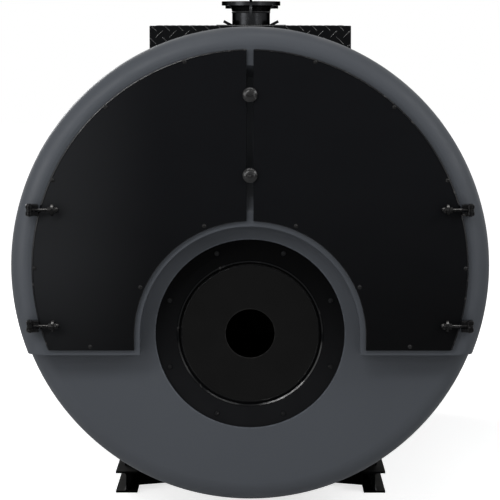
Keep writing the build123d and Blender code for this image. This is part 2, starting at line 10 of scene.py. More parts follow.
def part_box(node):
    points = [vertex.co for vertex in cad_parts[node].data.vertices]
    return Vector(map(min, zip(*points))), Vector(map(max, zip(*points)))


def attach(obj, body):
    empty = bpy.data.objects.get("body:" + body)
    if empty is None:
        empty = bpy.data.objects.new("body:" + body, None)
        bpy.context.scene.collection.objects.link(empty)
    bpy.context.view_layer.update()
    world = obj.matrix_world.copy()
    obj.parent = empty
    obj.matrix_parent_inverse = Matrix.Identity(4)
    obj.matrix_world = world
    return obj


bl_info = {
    "name": "Fire-tube boiler finish",
    "version": (1, 0, 0),
    "blender": (4, 5, 0),
    "location": "View3D > Sidebar > Boiler",
    "description": "Finishes the boiler's frame: paint, fastenings, chequer plate, tube ends and studio",
    "category": "Object",
}

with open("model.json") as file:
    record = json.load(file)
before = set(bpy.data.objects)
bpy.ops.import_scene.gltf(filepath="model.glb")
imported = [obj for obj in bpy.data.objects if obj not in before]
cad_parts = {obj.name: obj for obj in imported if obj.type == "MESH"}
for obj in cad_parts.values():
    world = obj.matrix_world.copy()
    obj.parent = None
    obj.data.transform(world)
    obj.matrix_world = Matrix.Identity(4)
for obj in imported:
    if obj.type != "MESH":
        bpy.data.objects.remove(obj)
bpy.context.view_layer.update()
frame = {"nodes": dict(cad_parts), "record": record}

# Places read from the frame, in metres
jacket_low, jacket_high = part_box("jacket_front")
cover_low, cover_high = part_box("left_door_cover")
core_low, core_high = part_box("left_door_core")
ring_low, ring_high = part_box("burner_ring")
plate_low, plate_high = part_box("burner_plate")
jacket_radius = (jacket_high.x - jacket_low.x) / 2
axis_z = (jacket_high.z + jacket_low.z) / 2
door_y = cover_low.y
burner_z = (ring_high.z + ring_low.z) / 2
ring_radius = (ring_high.x - ring_low.x) / 2
plate_radius = (plate_high.x - plate_low.x) / 2
cover_radius = -cover_low.x
core_radius = math.hypot(core_high.x, core_high.z - axis_z)
sides = (("left", -1), ("right", 1))

# Sizes that no box gives, in metres: arches and burner, then the deck's openings, pipes and rear covers
cover_arch = 0.603
core_arch = 0.680
bore_radius = 0.129
bolt_circle = 0.457
deck_opening_half = 0.14
opening_bar_width = 0.06
water_pipe_radius, water_neck_drop = 0.10955, 0.062
safety_pipe_radius, safety_neck_drop = 0.04445, 0.050
drain_pipe_radius = 0.03015
flue_radius = 0.300
hatch_thickness = 0.014
inspection_thickness = 0.030

# Colours of what settles on paint, steel and lining, and plain white
dust = (0.24, 0.23, 0.21)
pale_dust = (0.30, 0.29, 0.27)
plate_soot = (0.02, 0.018, 0.016)
rust_bloom = (0.19, 0.085, 0.04)
lining_soot = (0.05, 0.045, 0.04)
white = (1.0, 1.0, 1.0, 1.0)


class Wire:
    """A shader socket that can be used in sums."""

    def __init__(self, nodes, socket):
        self.nodes = nodes
        self.socket = socket

    def _sum(self, operation, first, second):
        return self.nodes.add("ShaderNodeMath", {"operation": operation}, {0: first, 1: second})

    def __add__(self, other):
        return self._sum("ADD", self, other)

    def __radd__(self, other):
        return self._sum("ADD", other, self)

    def __sub__(self, other):
        return self._sum("SUBTRACT", self, other)

    def __rsub__(self, other):
        return self._sum("SUBTRACT", other, self)

    def __mul__(self, other):
        return self._sum("MULTIPLY", self, other)

    def __rmul__(self, other):
        return self._sum("MULTIPLY", other, self)


class Nodes:
    """The nodes of a material or a world."""

    def __init__(self, owner):
        owner.use_nodes = True
        self.tree = owner.node_tree
        self.tree.nodes.clear()

    def add(self, kind, settings=None, inputs=None, output=0):
        """Adds a node: its settings first, then the values or links of its sockets."""
        node = self.tree.nodes.new(kind)
        for key, value in (settings or {}).items():
            setattr(node, key, value)
        for key, value in (inputs or {}).items():
            if isinstance(value, Wire):
                self.tree.links.new(value.socket, node.inputs[key])
            else:
                node.inputs[key].default_value = value
        return Wire(self, node.outputs[output]) if len(node.outputs) else node


class Finish(Nodes):
    """One material, built up node by node."""

    def __init__(self, name):
        self.material = bpy.data.materials.new(name)
        super().__init__(self.material)
        self.place = self.add("ShaderNodeTexCoord", output="Object")

    def noise(self, scale, detail=3.0, place=None):
        """Soft noise between 0 and 1, its scale in blotches a metre."""
        sockets = {"Vector": place or self.place, "Scale": scale, "Detail": detail}
        return self.add("ShaderNodeTexNoise", inputs=sockets)

    def stretched(self, stretch, turn=(0.0, 0.0, 0.0), shift=(0.0, 0.0, 0.0)):
        """The object's coordinates, moved, turned and stretched."""
        sockets = {"Vector": self.place, "Location": shift, "Rotation": turn, "Scale": stretch}
        return self.add("ShaderNodeMapping", inputs=sockets)

    def along(self, axis, vector=None):
        """A vector's part along one axis; the vector is the object's coordinates if none is given."""
        return self.add("ShaderNodeSeparateXYZ", inputs={"Vector": vector or self.place}, output=axis)

    def upward(self):
        """How far the surface faces up: 1 where it lies level."""
        return self.along("Z", self.add("ShaderNodeNewGeometry", output="Normal"))

    def length(self, vector):
        """The length of a vector."""
        return self.add("ShaderNodeVectorMath", {"operation": "LENGTH"}, {0: vector}, output="Value")

    def from_axis(self, height):
        """The distance from a lengthwise axis at a height."""
        return self.length(self.stretched((1.0, 0.0, 1.0), shift=(0.0, 0.0, -height)))

    def step(self, value, low, high, to_low=0.0, to_high=1.0):
        """Maps a value smoothly from one range onto another."""
        sockets = {"Value": value, "From Min": low, "From Max": high, "To Min": to_low, "To Max": to_high}
        return self.add("ShaderNodeMapRange", {"interpolation_type": "SMOOTHSTEP"}, sockets)

    def near(self, value, target, width):
        """A mask that is 1 where a value meets its target and fades over a width."""
        gap = self.add("ShaderNodeMath", {"operation": "ABSOLUTE"}, {0: value - target})
        return self.step(gap, width * 0.4, width, 1.0, 0.0)

    def settled(self):
        """Where dust has settled: patches on what faces up."""
        return self.step(self.upward(), 0.6, 1.0) * self.step(self.noise(5.0, 6.0), 0.35, 0.75)

    def blend(self, mask, first, second):
        """Mixes two colours by a mask."""
        return self.add("ShaderNodeMix", {"data_type": "RGBA"}, {0: mask, 6: first, 7: second}, output=2)

    def rubbed(self, mask, tone, bare, amount):
        """Paint rubbed thin inside a mask, broken up by noise."""
        broken = self.step(self.noise(45.0, 5.0), 0.38, 0.6, 0.25, 1.0)
        return self.blend(mask * broken * amount, tone, bare)

    def clouded(self, cloud, colour, level_low, level_high):
        """A colour that a noise darkens and lightens."""
        return self.blend(cloud, rgba(colour, level_low), rgba(colour, level_high))

    def varied(self, value, low, high):
        """A noise brought between two levels, for the roughness."""
        return self.step(value, 0.3, 0.7, low, high)

    def bump(self, height, distance, strength=1.0, under=None):
        """A bump of a real height in metres."""
        sockets = {"Height": height, "Distance": distance, "Strength": strength}
        if under is not None:
            sockets["Normal"] = under
        return self.add("ShaderNodeBump", inputs=sockets)

    def surface(self, colour, roughness, normal, metallic=0.0, specular=0.5, edge=white):
        """Ends the material in a principled shader."""
        shader = self.add("ShaderNodeBsdfPrincipled", inputs={
            "Base Color": colour, "Roughness": roughness, "Metallic": metallic, "Normal": normal,
            "Specular IOR Level": specular, "Specular Tint": edge})
        self.add("ShaderNodeOutputMaterial", inputs={"Surface": shader})
        return self.material


def rgba(colour, level=1.0):
    """A colour with its alpha, lightened or darkened by a level."""
    return (*(part * level for part in colour), 1.0)


def sprayed_paint(name, colour, roughness, specular):
    """Sprayed paint: faint clouding, orange peel, dust on what faces up and a few softer spots."""
    finish = Finish(name)
    tone = finish.clouded(finish.noise(1.6, 4.0), colour, 0.95, 1.05)
    tone = finish.blend(finish.settled() * 0.05, tone, rgba(dust))
    rough = finish.varied(finish.noise(7.0, 5.0), roughness - 0.04, roughness + 0.05)
    wave = finish.bump(finish.noise(9.0, 2.0), 0.0006, 0.35)
    skin = finish.bump(finish.noise(420.0, 2.0), 0.00006, 0.6, wave)
    return finish.surface(tone, rough, skin, specular=specular)


def blued_steel(name, colour):
    """Dark blued steel: faint clouding, fine grain, dark where it turns away."""
    finish = Finish(name)
    tone = finish.clouded(finish.noise(6.0, 4.0), colour, 0.85, 1.15)
    tone = finish.blend(finish.settled() * 0.1, tone, rgba(colour, 2.5))
    rough = finish.varied(finish.noise(30.0, 5.0), 0.22, 0.3)
    skin = finish.bump(finish.noise(420.0, 2.0), 0.00003, 0.5)
    return finish.surface(tone, rough, skin, metallic=1.0, edge=(0.0, 0.0, 0.0, 1.0))


def casing_paint(settings):
    """The grey coat of the drum, streaked a little, with dust on top, rubbed round the burner opening."""
    finish = Finish("casing_paint")
    colour = settings.casing
    tone = finish.clouded(finish.noise(1.1, 4.0), colour, 0.97, 1.03)
    streak = finish.noise(2.2, 5.0, finish.stretched((6.0, 6.0, 0.7)))
    tone = finish.blend(finish.step(streak, 0.62, 0.8, 0.0, 0.10), tone, rgba(colour, 0.78))
    tone = finish.blend(finish.settled() * 0.08, tone, rgba(pale_dust))
    opening = finish.near(finish.from_axis(burner_z), ring_radius + 0.002, 0.006)
    tone = finish.rubbed(opening, tone, rgba(colour, 2.2), 0.35)
    rough = finish.varied(finish.noise(6.0, 5.0), 0.42, 0.52)
    wave = finish.bump(finish.noise(3.0, 2.0), 0.0012, 0.25)
    skin = finish.bump(finish.noise(380.0, 2.0), 0.00006, 0.6, wave)
    return finish.surface(tone, rough, skin, specular=settings.casing_shine)


def plate_paint(settings):
    """The black doors: a satin coat with painted shade, darker low down, and a painted sheen, lighter at the
    left, rubbed along the edges.
    """
    painted_shade_foot, painted_shade_head = axis_z - 0.45, axis_z + 0.7
    painted_sheen_left, painted_sheen_right = -1.05, -0.37
    painted_sheen_foot, painted_sheen_head = axis_z - 0.55, axis_z + 0.1
    finish = Finish("door_paint")
    cloud = finish.noise(1.3, 3.0)
    height = finish.along("Z")
    # Painted shade: the coat darkens towards the bottom of the doors
    tone = finish.clouded(finish.step(height + cloud * 0.2, painted_shade_foot, painted_shade_head), settings.door, 0.35, 1.15)
    # Painted sheen: the coat lightens towards the left of the doors, more so higher up
    painted_sheen = finish.step(finish.along("X") + cloud * 0.1, painted_sheen_left, painted_sheen_right, 1.0, 0.0)
    painted_sheen = painted_sheen * finish.step(height, painted_sheen_foot, painted_sheen_head, 0.35, 1.0)
    tone = finish.blend(painted_sheen, tone, rgba(settings.door_painted_sheen))
    for edge_z, radius in ((axis_z, cover_radius), (burner_z, cover_arch)):
        edge = finish.near(finish.from_axis(edge_z), radius, 0.004)
        tone = finish.rubbed(edge, tone, rgba(settings.steel, 0.1), 0.35)
    wiped = finish.noise(3.0, 6.0, finish.stretched((1.0, 1.0, 3.0), (0.0, 0.5, 0.0)))
    wave = finish.bump(finish.noise(2.5, 2.0), 0.0010, 0.25)
    skin = finish.bump(finish.noise(500.0, 2.0), 0.00005, 0.5, wave)
    return finish.surface(tone, finish.varied(wiped, 0.46, 0.56), skin, specular=settings.door_shine)


def turned_plate(name, colour, settings, shine, soot=0.0):
    """The burner's plates: black heat-proof coat over faint turning marks, rubbed at the turned edges, and,
    as much as the soot level asks, darkened towards the top as painted shade.
    """
    marks_per_metre = 1900.0
    top_shade_foot, top_shade_head = burner_z - 0.35, burner_z + 0.5
    finish = Finish(name)
    distance = finish.from_axis(burner_z)
    ridges = finish.add("ShaderNodeMath", {"operation": "SINE"}, {0: distance * marks_per_metre})
    smudge = finish.noise(9.0, 6.0)
    tone = finish.clouded(smudge, colour, 0.85, 1.2)
    # Painted shade: the coat darkens towards the top, by as much as the soot level gives
    painted_top_shade = finish.step(finish.along("Z") + smudge * 0.1, top_shade_foot, top_shade_head) * soot
    tone = finish.blend(painted_top_shade, tone, rgba(colour, 0.15))
    for edge, width, amount in (
        (plate_radius, 0.006, 0.5), (settings.groove_radius, 0.003, 0.3), (bore_radius, 0.004, 0.3),
    ):
        tone = finish.rubbed(finish.near(distance, edge, width), tone, rgba(settings.steel, 0.09), amount)
    marks = finish.bump(ridges, 0.00003, 0.5)
    skin = finish.bump(finish.noise(260.0, 3.0), 0.00008, 0.5, marks)
    return finish.surface(tone, finish.varied(smudge, 0.44, 0.56), skin, specular=shine)


def worn_black(name, colour, settings, shine, softness=0.28, rub_scale=60.0, rub_amount=0.12, top_wear_and_highlight=0.0,
               grain=0.00005):
    """Black steel, rubbed where hands and spanners go; where asked, bare and bright along its tops, partly
    wear and partly a painted highlight.
    """
    finish = Finish(name)
    rub = finish.step(finish.noise(rub_scale, 6.0), 0.6, 0.72) * rub_amount
    metal = 0.0
    if top_wear_and_highlight:
        # Bare and bright on what faces up: partly wear, partly a painted highlight
        patchy = finish.step(finish.noise(130.0, 4.0), 0.3, 0.6, 0.6, 1.0)
        worn_top_and_highlight = finish.step(finish.upward(), 0.45, 0.85) * patchy * top_wear_and_highlight
        rub = metal = finish.add("ShaderNodeMath", {"operation": "MAXIMUM"}, {0: rub, 1: worn_top_and_highlight})
    tone = finish.blend(rub, rgba(colour), rgba(settings.steel, 0.6))
    rough = finish.varied(finish.noise(90.0, 4.0), softness - 0.04, softness + 0.05)
    skin = finish.bump(finish.noise(700.0, 3.0), grain, 0.6)
    return finish.surface(tone, rough, skin, metallic=metal, specular=shine)


def boiler_plate(settings):
    """Bare boiler steel with mill scale, soot and a warm bloom."""
    finish = Finish("boiler_steel")
    soot = finish.step(finish.noise(4.0, 8.0), 0.35, 0.7)
    bloom = finish.step(finish.noise(13.0, 5.0), 0.5, 0.75)
    tone = finish.blend(soot, rgba(settings.plate), rgba(plate_soot))
    tone = finish.blend(bloom * 0.35, tone, rgba(rust_bloom))
    rough = finish.step(soot, 0.0, 1.0, 0.55, 0.85)
    skin = finish.bump(finish.noise(120.0, 6.0), 0.0005, 0.5)
    return finish.surface(tone, rough, skin, metallic=0.35, specular=0.4)


def cast_lining(settings):
    """Cast refractory: pale, pitted and sooted in patches."""
    finish = Finish("door_lining")
    pits = finish.add(
        "ShaderNodeTexVoronoi", inputs={"Vector": finish.place, "Scale": 90.0}, output="Distance")
    soot = finish.step(finish.noise(3.0, 7.0), 0.4, 0.75)
    tone = finish.clouded(finish.noise(25.0, 6.0), settings.lining, 0.8, 1.15)
    tone = finish.blend(soot * 0.7, tone, rgba(lining_soot))
    coarse = finish.bump(finish.noise(40.0, 8.0), 0.003, 0.6)
    return finish.surface(tone, 0.93, finish.bump(pits, 0.0015, 0.5, coarse), specular=0.2)


def soot_and_shade_black():
    """The black of the discs in the tube mouths: the tubes' soot and painted shade for their depth."""
    finish = Finish("soot")
    tone = finish.blend(finish.noise(50.0, 5.0), (0.004, 0.004, 0.004, 1.0), (0.012, 0.011, 0.010, 1.0))
    return finish.surface(tone, 0.95, finish.bump(finish.noise(200.0, 5.0), 0.001, 0.5), specular=0.05)


def rope_seal():
    """Woven glass rope, its strands wound round the seal."""
    finish = Finish("rope_seal")
    weave = finish.add(
        "ShaderNodeTexWave",
        {"wave_type": "BANDS", "bands_direction": "DIAGONAL"},
        {"Vector": finish.place, "Scale": 90.0, "Distortion": 1.5},
    )
    tone = finish.blend(weave, (0.10, 0.09, 0.08, 1.0), (0.34, 0.31, 0.27, 1.0))
    return finish.surface(tone, 0.95, finish.bump(weave, 0.0012, 0.8), specular=0.1)


def weld_bead(name, colour):
    """Painted-over weld metal with its ripples."""
    finish = Finish(name)
    ripple = finish.noise(180.0, 3.0)
    tone = finish.clouded(ripple, colour, 0.7, 1.6)
    return finish.surface(tone, 0.45, finish.bump(ripple, 0.0012, 0.8), specular=0.2)


# Kinds of setting: a colour, a length, a lamp's power and a level between 0 and 1
Colour = partial(bpy.props.FloatVectorProperty, subtype="COLOR")
Length = partial(bpy.props.FloatProperty, unit="LENGTH")
Power = partial(bpy.props.FloatProperty, unit="POWER")
Level = partial(bpy.props.FloatProperty, subtype="FACTOR", min=0.0, max=1.0)


class BoilerSettings(bpy.types.PropertyGroup):
    """Colours, sizes and light that a user would change."""

    casing: Colour(name="Casing", description="Grey of the drum", default=(0.043, 0.0475, 0.055))
    door: Colour(name="Doors", description="Black of the doors", default=(0.0024, 0.0026, 0.0032))
    # The colour the doors lighten to at the left: a painted sheen
    door_painted_sheen: Colour(
        name="Painted sheen on doors", description="Door paint lightened at the left as a painted sheen", default=(0.0105, 0.0110, 0.0120))
    burner: Colour(
        name="Burner plate", description="Black of the burner plate", default=(0.0022, 0.0022, 0.0022))
    ring: Colour(
        name="Burner fittings", description="Black of the burner's bolts and lips",
        default=(0.0012, 0.0014, 0.0018))
    ring_paint: Colour(
        name="Burner ring", description="Black of the ring round the burner plate",
        default=(0.0058, 0.0060, 0.0066))
    deck: Colour(name="Deck", description="Black of the chequer plate", default=(0.0016, 0.0018, 0.0022))
    fitting: Colour(
        name="Fittings", description="Black of hinges and bolts", default=(0.0016, 0.0016, 0.0018))
    knob: Colour(name="Knobs", description="Black of the clamp knobs", default=(0.0055, 0.0055, 0.0058))
    beam: Colour(name="Beams", description="Black of rails and saddles", default=(0.0007, 0.0007, 0.0008))
    nozzle: Colour(
        name="Nozzles", description="Grey of the nozzles and lugs", default=(0.0200, 0.0207, 0.0220))
    steel: Colour(name="Bare steel", description="Steel under worn paint", default=(0.42, 0.41, 0.40))
    plate: Colour(name="Boiler plate", description="Bare boiler plate", default=(0.11, 0.095, 0.085))
    lining: Colour(name="Lining", description="Cast refractory", default=(0.36, 0.33, 0.29))
    screw_radius: Length(name="Screw head", description="Radius of a cover screw's head", default=0.0095)
    bolt_radius: Length(name="Bolt head", description="Radius of a burner bolt's head", default=0.0105)
    bar_length: Length(name="Chequer bar", description="Length of a raised bar", default=0.059)
    bar_pitch: Length(name="Chequer pitch", description="Spacing of bars that point one way", default=0.071)
    tube_radius: Length(name="Smoke tube", description="Outer radius of a smoke tube", default=0.038)
    tube_pitch: Length(name="Tube pitch", description="Spacing of the smoke tubes", default=0.108)
    groove_radius: Length(
        name="Burner groove", description="Radius of the turned lip outside the groove", default=0.378)
    rivet_count: bpy.props.IntProperty(
        name="Rivets", description="Rivets round each seam of the jacket", default=48)
    edge_shine: Level(
        name="Edge shine", description="Specular level of the burner's rolled edges", default=0.1)
    lip_shine: Level(
        name="Lip shine", description="Specular level of the lips round the door covers", default=0.11)
    bar_shine: Level(name="Chequer shine", description="Specular level of the raised bars", default=0.5)
    casing_shine: Level(name="Casing shine", description="Specular level of the grey coat", default=0.16)
    door_shine: Level(name="Door shine", description="Specular level of the doors", default=0.038)
    plate_shine: Level(name="Burner shine", description="Specular level of the burner plate", default=0.06)
    ring_shine: Level(name="Ring shine", description="Specular level of the burner ring", default=0.02)
    fitting_shine: Level(name="Fitting shine", description="Specular level of hinges and bolts", default=0.1)
    key_power: Power(name="Key light", description="Power of the lamp at the upper left", default=215.0)
    fill_power: Power(name="Fill light", description="Power of the lamp at the front right", default=22.0)
    left_power: Power(name="Left light", description="Power of the lamp at the left side", default=250.0)
    right_power: Power(name="Right light", description="Power of the lamp at the upper right", default=205.0)
    low_power: Power(name="Low light", description="Power of the lamp low at the right", default=45.0)
    top_power: Power(name="Top light", description="Power of the strip lamp overhead", default=85.0)
    back_power: Power(name="Back light", description="Power of the lamp behind the boiler", default=420.0)
    world_level: Level(name="World light", description="Strength of the surrounding light", default=0.205)


def lathe(bm, profile, segments):
    """Spins a profile of (radius, height) round Z and closes it."""
    verts = [bm.verts.new((radius, 0.0, height)) for radius, height in profile]
    edges = [bm.edges.new(pair) for pair in zip(verts, verts[1:])]
    bmesh.ops.spin(
        bm, geom=verts + edges, cent=(0, 0, 0), axis=(0, 0, 1), angle=2 * math.pi, steps=segments,
        use_merge=True)
    bmesh.ops.remove_doubles(bm, verts=bm.verts[:], dist=1e-6)


def as_mesh(name, bm):
    """A new mesh from a bmesh, which is freed."""
    mesh = bpy.data.meshes.new(name)
    bm.to_mesh(mesh)
    bm.free()
    return mesh


def make_mesh(name, build):
    """A mesh made by a function that fills a bmesh, its normals turned outwards."""
    bm = bmesh.new()
    build(bm)
    bmesh.ops.remove_doubles(bm, verts=bm.verts[:], dist=1e-6)
    bmesh.ops.recalc_face_normals(bm, faces=bm.faces[:])
    return as_mesh(name, bm)


def sweep_round_drum(name, profile, start, turn, steps):
    """A closed profile of (y, height over the drum's axis), swept round that axis from a start angle."""
    def build(bm):
        verts = [bm.verts.new((0.0, y, height)) for y, height in profile]
        edges = [bm.edges.new((verts[number - 1], verts[number])) for number in range(len(verts))]
        bmesh.ops.rotate(bm, verts=verts, cent=(0, 0, 0), matrix=Matrix.Rotation(start, 3, "Y"))
        bmesh.ops.spin(
            bm, geom=verts + edges, cent=(0, 0, 0), axis=(0, 1, 0), angle=turn, steps=steps, use_merge=False)
        bmesh.ops.holes_fill(bm, edges=bm.edges[:])
        bmesh.ops.translate(bm, verts=bm.verts[:], vec=(0, 0, axis_z))
    return make_mesh(name, build)


def stamp(name, template, places):
    """One mesh that holds a copy of a template at each place."""
    bm = bmesh.new()
    for place in places:
        copy = template.copy()
        copy.transform(place)
        bm.from_mesh(copy)
        bpy.data.meshes.remove(copy)
    bpy.data.meshes.remove(template)
    return as_mesh(name, bm)


def plain(slot):
    """The frame's own plain material of a slot."""
    return bpy.data.materials[slot]


def add_object(name, data):
    """A new object in the scene."""
    item = bpy.data.objects.new(name, data)
    bpy.context.scene.collection.objects.link(item)
    return item


def set_piece(mesh, material, body, smooth=35.0):
    """Puts a finished mesh into the scene as a piece of the same name that rides on a body."""
    piece = add_object(mesh.name, mesh)
    mesh.materials.clear()
    mesh.materials.append(material)
    if smooth:
        mesh.polygons.foreach_set("use_smooth", [True] * len(mesh.polygons))
        mesh.set_sharp_from_angle(angle=math.radians(smooth))
    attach(piece, body)


def face_place(tilt, x, z, y, turn=0.0):
    """A place on an upright face, with local Z tilted out of the face and a turn about it."""
    tilted = Matrix.Translation((x, y, z)) @ Matrix.Rotation(math.radians(tilt), 4, "X")
    return tilted @ Matrix.Rotation(turn, 4, "Z")


# Places on a front face, where local Z points to -Y, and on a rear face, where it points to +Y
front_place = partial(face_place, 90)
rear_place = partial(face_place, -90)


def round_circle(count, radius):
    """Evenly spaced points on a circle, as x and z from its middle, the first half a step off its top."""
    for number in range(count):
        angle = 2 * math.pi * (number + 0.5) / count
        yield radius * math.sin(angle), radius * math.cos(angle)


def washer_and_dome(radius):
    """A button head on its washer, with a round socket sunk in it."""
    def build(bm):
        wide, low, high = radius * 1.25, radius * 0.2, radius * 0.75
        socket_foot = high - radius * 0.3
        profile = [(0.0, socket_foot), (radius * 0.36, socket_foot), (radius * 0.42, high)]
        profile += [
            (radius * math.cos(angle), low + (high - low) * math.sin(angle))
            for angle in (math.radians(step) for step in (60, 40, 20, 0))
        ]
        profile += [(wide, low), (wide, 0.0)]
        lathe(bm, profile, 18)
    return make_mesh("button_head", build)


def hex_head(radius, height):
    """A six-sided bolt head, chamfered at the corners, on a washer."""
    def build(bm):
        washer = radius * 0.18
        made = bmesh.ops.create_cone(
            bm, cap_ends=True, segments=6, radius1=radius, radius2=radius, depth=height,
            matrix=Matrix.Translation((0, 0, height / 2 + washer)))
        top = [v for v in made["verts"] if v.co.z > height / 2]
        edges = [e for e in bm.edges if all(v in top for v in e.verts)]
        bmesh.ops.bevel(
            bm, geom=edges, offset=radius * 0.12, segments=2, profile=0.5, affect="EDGES", material=-1)
        lathe(bm, [(0.0, washer), (radius * 1.2, washer), (radius * 1.28, 0.0)], 20)
    return make_mesh("hex_head", build)


def bead_ring(radius, width, segments=48):
    """A weld bead that runs round a pipe."""
    def build(bm):
        steps = [math.radians(angle) for angle in range(90, -91, -30)]
        lathe(bm, [(radius + width * 0.45 * math.cos(a), width * math.sin(a)) for a in steps], segments)
    return make_mesh("bead", build)


class BOILER_OT_paint(bpy.types.Operator):
    """Paints the frame's own nodes"""

    bl_idname = "boiler.paint"
    bl_label = "Paint the boiler"

    def execute(self, context):
        settings = context.scene.boiler
        by_slot = {
            "casing_paint": casing_paint(settings),
            "door_paint": plate_paint(settings),
            "burner_black": turned_plate("burner_black", settings.burner, settings, settings.plate_shine),
            "deck_black": sprayed_paint("deck_black", settings.deck, roughness=0.4, specular=0.06),
            "fitting_black": worn_black(
                "fitting_black", settings.fitting, settings, settings.fitting_shine, softness=0.2),
            "boiler_steel": boiler_plate(settings),
            "door_lining": cast_lining(settings),
            "frame_black": sprayed_paint("frame_black", settings.beam, roughness=0.55, specular=0.02),
            "nozzle_grey": blued_steel("nozzle_grey", settings.nozzle),
        }
        by_ending = {
            # The ring's soot level sets painted shade that darkens it towards the top
            "burner_ring": turned_plate(
                "ring_black", settings.ring_paint, settings, settings.ring_shine, soot=1.0),
            # The hinge arms turn bright on top: partly wear, partly a painted highlight
            "_hinge_arm": worn_black(
                "hinge_arm_black", settings.fitting, settings, settings.fitting_shine, top_wear_and_highlight=1.0),
            "_clamp_knob": worn_black("knob_black", settings.knob, settings, shine=0.25, softness=0.22),
        }
        slots = {entry["node"]: entry["material_slot"] for entry in frame["record"]["subparts"]}
        for name, node in frame["nodes"].items():
            special = [material for ending, material in by_ending.items() if name.endswith(ending)]
            node.data.materials.clear()
            node.data.materials.append(special[0] if special else by_slot[slots[name]])
        return {"FINISHED"}


class BOILER_OT_cover_screws(bpy.types.Operator):
    """Screws the door covers down round their edges"""

    bl_idname = "boiler.cover_screws"
    bl_label = "Cover screws"

    def execute(self, context):
        settings = context.scene.boiler
        material = worn_black("screw_black", settings.fitting, settings, shine=0.2, softness=0.4)
        rim_angles, rim_gap = (17.5, 41.7, 65.9, 90.0), 0.0125
        arch_angles, arch_gap = (22.3, 65.4), 0.023
        foot_x, foot_gap = 0.831, 0.021
        for word, side in sides:
            places = []
            for angles, reach, middle_z in (
                (rim_angles, cover_radius - rim_gap, axis_z), (arch_angles, cover_arch + arch_gap, burner_z),
            ):
                for turn in map(math.radians, angles):
                    x, z = side * reach * math.sin(turn), middle_z + reach * math.cos(turn)
                    places.append(front_place(x, z, door_y))
            places.append(front_place(side * foot_x, cover_low.z + foot_gap, door_y))
            mesh = stamp(f"{word}_cover_screws", washer_and_dome(settings.screw_radius), places)
            set_piece(mesh, material, f"{word}_door")
        return {"FINISHED"}


class BOILER_OT_cover_lips(bpy.types.Operator):
    """Folds a lip round the outer edge of each door cover"""

    bl_idname = "boiler.cover_lips"
    bl_label = "Cover lips"

    # The lip's section, as reach beyond the cover's edge and depth behind its face
    section = (
        (-0.0064, 0.0), (-0.0056, -0.0022), (-0.0046, -0.0026), (0.0006, -0.0008), (0.0018, 0.0004),
        (0.0018, 0.0040), (-0.0064, 0.0040),
    )

    def execute(self, context):
        settings = context.scene.boiler
        end_gap = 0.004
        material = worn_black(
            "lip_black", settings.door, settings, settings.lip_shine, softness=0.22, rub_scale=25.0,
            rub_amount=0.1, grain=0.00001)
        start = math.asin((-cover_high.x + end_gap) / cover_radius)
        end = math.pi - math.acos((axis_z - cover_low.z - end_gap) / cover_radius)
        profile = [(door_y + depth, cover_radius + reach) for reach, depth in self.section]
        for word, side in sides:
            mesh = sweep_round_drum(f"{word}_cover_lip", profile, side * start, side * (end - start), 96)
            set_piece(mesh, material, f"{word}_door", smooth=15.0)
        return {"FINISHED"}


class BOILER_OT_burner_bolts(bpy.types.Operator):
    """Bolts the burner ring down"""

    bl_idname = "boiler.burner_bolts"
    bl_label = "Burner bolts"

    def execute(self, context):
        settings = context.scene.boiler
        radius = settings.bolt_radius
        places = [
            front_place(x, burner_z + z, ring_low.y, number * 0.7)
            for number, (x, z) in enumerate(round_circle(8, bolt_circle))
        ]
        mesh = stamp("burner_bolts", hex_head(radius, radius * 0.7), places)
        material = worn_black("bolt_black", settings.ring, settings, shine=0.12, softness=0.4)
        set_piece(mesh, material, "boiler")
        return {"FINISHED"}


class BOILER_OT_burner_edges(bpy.types.Operator):
    """Turns the lips on both sides of the burner's groove"""

    bl_idname = "boiler.burner_edges"
    bl_label = "Burner edges"

    # The ring lip's section, as reach beyond the groove's edge and height over the ring's face
    section = (
        (0.0075, 0.0), (0.0066, 0.0020), (0.0052, 0.0029), (-0.0022, -0.0010), (-0.0036, -0.0030),
        (-0.0036, -0.0120),
    )

    def execute(self, context):
        settings = context.scene.boiler
        material = worn_black(
            "edge_black", settings.ring, settings, settings.edge_shine, softness=0.12, rub_scale=20.0,
            rub_amount=0.1, grain=0.00001)
        lip = [(settings.groove_radius + reach, height) for reach, height in self.section]
        bead, inset = 0.003, 0.0025
        steps = [math.radians(angle) for angle in range(180, -1, -20)]
        rounded = [(plate_radius - inset + bead * math.cos(a), -bead + bead * math.sin(a)) for a in steps]
        for name, profile, y, smooth in (
            ("ring_lip", lip, ring_low.y, 15.0), ("plate_bead", rounded, plate_low.y, 60.0),
        ):
            turned = make_mesh("turned_edge", lambda bm: lathe(bm, profile, 144))
            mesh = stamp(name, turned, [front_place(0.0, burner_z, y)])
            set_piece(mesh, material, "boiler", smooth)
        return {"FINISHED"}


def chequer_bar(length):
    """One raised bar of chequer plate: a ridge with pointed ends, flat underneath."""
    width, height = 0.0085, 0.0028

    def build(bm):
        bmesh.ops.create_uvsphere(bm, u_segments=8, v_segments=6, radius=1.0)
        bmesh.ops.bisect_plane(
            bm, geom=bm.verts[:] + bm.edges[:] + bm.faces[:], plane_co=(0, 0, 0), plane_no=(0, 0, -1),
            clear_outer=True)
        bmesh.ops.scale(bm, vec=(length / 2, width / 2, height), verts=bm.verts[:])
    return make_mesh("chequer_bar", build)


def trim(mesh, planes):
    """Cuts a mesh off beyond each plane, given as a point and an outward direction, and closes the cuts."""
    bm = bmesh.new()
    bm.from_mesh(mesh)
    for point, outward in planes:
        cut_at = bmesh.ops.bisect_plane(
            bm, geom=bm.verts[:] + bm.edges[:] + bm.faces[:], plane_co=point, plane_no=outward,
            clear_outer=True)
        edges = [item for item in cut_at["geom_cut"] if isinstance(item, bmesh.types.BMEdge)]
        if edges:
            bmesh.ops.edgenet_fill(bm, edges=edges)
    bmesh.ops.recalc_face_normals(bm, faces=bm.faces[:])
    bm.to_mesh(mesh)
    bm.free()
    return mesh


